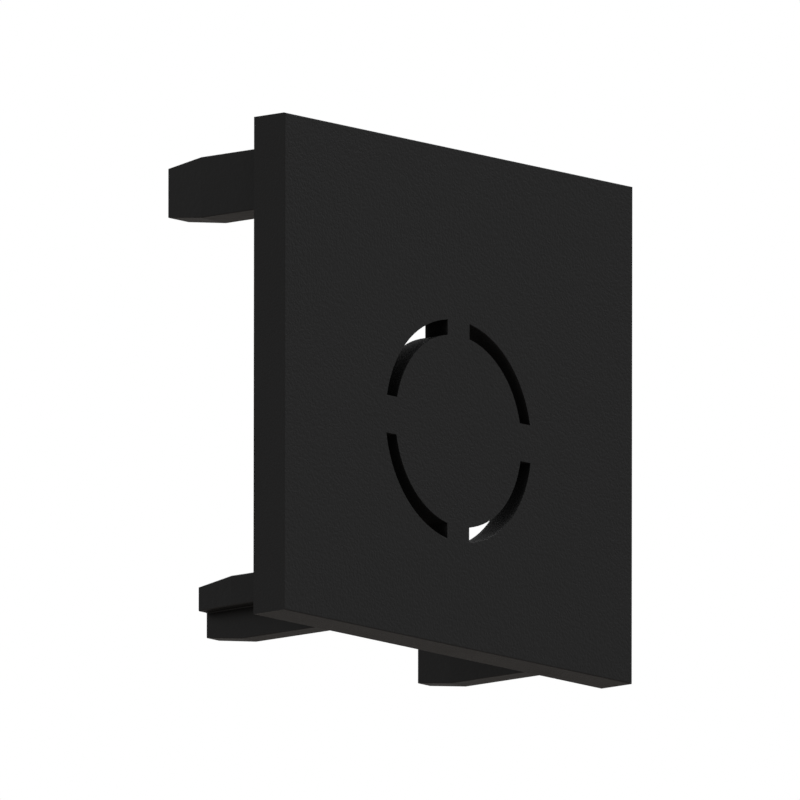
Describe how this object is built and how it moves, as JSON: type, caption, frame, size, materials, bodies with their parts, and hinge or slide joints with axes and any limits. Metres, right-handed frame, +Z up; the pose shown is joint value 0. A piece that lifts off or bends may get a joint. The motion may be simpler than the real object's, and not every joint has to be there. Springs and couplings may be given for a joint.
{
  "type": "profile end cap",
  "caption": "Moulded end cap for a rectangular cable-duct profile: a flat cover plate with a round knock-out for a cable gland and tapered pegs on its back.",
  "frame": {"origin": "on the seating plane (the rim on the back of the plate), midway across the width, at the plate's lower edge", "axes": "+X across the width to the right seen from the front, +Y from the cap into the profile, +Z up; the front face looks towards -Y and the pegs point to +Y"},
  "size_m": [0.04, 0.0136, 0.0376],
  "materials": {
    "black_plastic": "black moulded plastic with a fine matt grain"
  },
  "bodies": {
    "root": {"end_cap": "black_plastic"}
  },
  "joints": []
}
